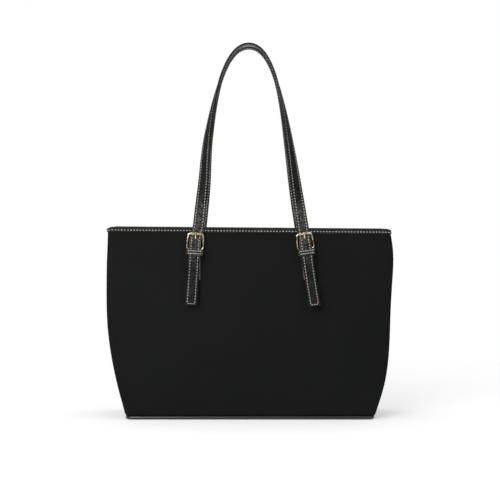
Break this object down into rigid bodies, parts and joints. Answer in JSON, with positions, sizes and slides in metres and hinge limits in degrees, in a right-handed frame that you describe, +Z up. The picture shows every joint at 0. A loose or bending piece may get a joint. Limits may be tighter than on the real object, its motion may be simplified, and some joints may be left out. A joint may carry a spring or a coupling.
{
  "type": "diaper tote bag",
  "caption": "Open-top faux-leather tote shoulder bag with two buckled carrying handles, a recessed two-flap zip closure and inner pockets.",
  "frame": {"origin": "centre of the base's underside, on the surface the bag stands on", "axes": "+X across the bag to its right seen from the front, -Y towards its front, +Z up"},
  "size_m": [0.444, 0.133, 0.584],
  "materials": {
    "panel_leather": "matte, fine grain",
    "gusset_leather": "matte, fine grain",
    "strap_leather": "pebbled, soft sheen, cream stitching",
    "flap_leather": "matte, fine grain",
    "piping": "gloss",
    "board": "matt",
    "lining_fabric": "plain weave",
    "zip_tape": "fine weave",
    "zip_metal": "polished, light gold",
    "buckle_metal": "polished, light gold"
  },
  "bodies": {
    "bag": {"back_left_anchor_tab": "strap_leather", "back_left_buckle": "buckle_metal", "back_left_keeper": "strap_leather", "back_left_strap_end": "strap_leather", "back_panel": "panel_leather", "back_right_anchor_tab": "strap_leather", "back_right_buckle": "buckle_metal", "back_right_keeper": "strap_leather", "back_right_strap_end": "strap_leather", "base_board": "board", "base_panel": "panel_leather", "base_piping": "piping", "front_left_anchor_tab": "strap_leather", "front_left_buckle": "buckle_metal", "front_left_keeper": "strap_leather", "front_left_strap_end": "strap_leather", "front_panel": "panel_leather", "front_right_anchor_tab": "strap_leather", "front_right_buckle": "buckle_metal", "front_right_keeper": "strap_leather", "front_right_strap_end": "strap_leather", "left_gusset": "gusset_leather", "lining": "lining_fabric", "right_gusset": "gusset_leather", "rim_binding": "strap_leather", "slip_pocket": "lining_fabric", "zip_end_stop": "zip_metal", "zip_end_tab": "strap_leather", "zip_end_tape": "zip_tape", "zip_end_teeth": "zip_metal", "zip_pocket_bag": "lining_fabric", "zip_pocket_tape": "zip_tape", "zip_pocket_teeth": "zip_metal", "zip_pocket_welt": "strap_leather"},
    "front_handle": {"front_handle": "strap_leather"},
    "back_handle": {"back_handle": "strap_leather"},
    "front_flap": {"front_zip_flap": "flap_leather", "front_zip_tape": "zip_tape", "front_zip_teeth": "zip_metal"},
    "back_flap": {"back_zip_flap": "flap_leather", "back_zip_tape": "zip_tape", "back_zip_teeth": "zip_metal"},
    "top_slider": {"zip_slider": "zip_metal"},
    "top_pull": {"zip_pull": "zip_metal"},
    "pocket_slider": {"zip_pocket_slider": "zip_metal"},
    "pocket_pull": {"zip_pocket_pull": "zip_metal"},
    "front_left_prong": {"front_left_prong": "buckle_metal"},
    "front_right_prong": {"front_right_prong": "buckle_metal"},
    "back_left_prong": {"back_left_prong": "buckle_metal"},
    "back_right_prong": {"back_right_prong": "buckle_metal"}
  },
  "joints": [
    {"name": "front_handle_swing", "type": "hinge", "parent": "bag", "child": "front_handle", "pos_m": [0, -0.04725, 0.29603], "axis": [1, 0, 0], "range_deg": [-1, 136], "stiffness_Nm_per_rad": 0.5},
    {"name": "back_handle_swing", "type": "hinge", "parent": "bag", "child": "back_handle", "pos_m": [0, 0.04725, 0.29603], "axis": [-1, 0, 0], "range_deg": [-1, 136], "stiffness_Nm_per_rad": 0.5},
    {"name": "front_flap_lift", "type": "hinge", "parent": "bag", "child": "front_flap", "pos_m": [0, -0.0365, 0.281], "axis": [1, 0, 0], "range_deg": [0, 90]},
    {"name": "back_flap_lift", "type": "hinge", "parent": "bag", "child": "back_flap", "pos_m": [0, 0.0365, 0.281], "axis": [-1, 0, 0], "range_deg": [0, 90]},
    {"name": "top_zip_run", "type": "slide", "parent": "bag", "child": "top_slider", "axis": [-1, 0, 0], "range_m": [0, 0.351]},
    {"name": "top_pull_swing", "type": "hinge", "parent": "top_slider", "child": "top_pull", "pos_m": [0.1792, 0, 0.2854], "axis": [0, -1, 0], "range_deg": [0, 170]},
    {"name": "pocket_zip_run", "type": "slide", "parent": "bag", "child": "pocket_slider", "axis": [-1, 0, 0], "range_m": [0, 0.165]},
    {"name": "pocket_pull_swing", "type": "hinge", "parent": "pocket_slider", "child": "pocket_pull", "pos_m": [0.082, 0.04039, 0.20533], "axis": [0, -0.0879, 0.9961], "range_deg": [0, 170]},
    {"name": "front_left_prong_lift", "type": "hinge", "parent": "bag", "child": "front_left_prong", "pos_m": [-0.08494, -0.05064, 0.26106], "axis": [0.9981, 0, -0.061], "range_deg": [0, 4]},
    {"name": "back_left_prong_lift", "type": "hinge", "parent": "bag", "child": "back_left_prong", "pos_m": [-0.08494, 0.05064, 0.26106], "axis": [-0.9981, 0, 0.061], "range_deg": [0, 4]},
    {"name": "front_right_prong_lift", "type": "hinge", "parent": "bag", "child": "front_right_prong", "pos_m": [0.08637, -0.05061, 0.26133], "axis": [0.9903, 0, 0.1392], "range_deg": [0, 4]},
    {"name": "back_right_prong_lift", "type": "hinge", "parent": "bag", "child": "back_right_prong", "pos_m": [0.08637, 0.05061, 0.26133], "axis": [-0.9903, 0, -0.1392], "range_deg": [0, 4]}
  ],
  "couplings": [
    {"joint": "back_flap_lift", "follows": "front_flap_lift", "ratio": 1},
    {"joint": "top_zip_run", "follows": "front_flap_lift", "m_per_rad": 0.22339}
  ]
}
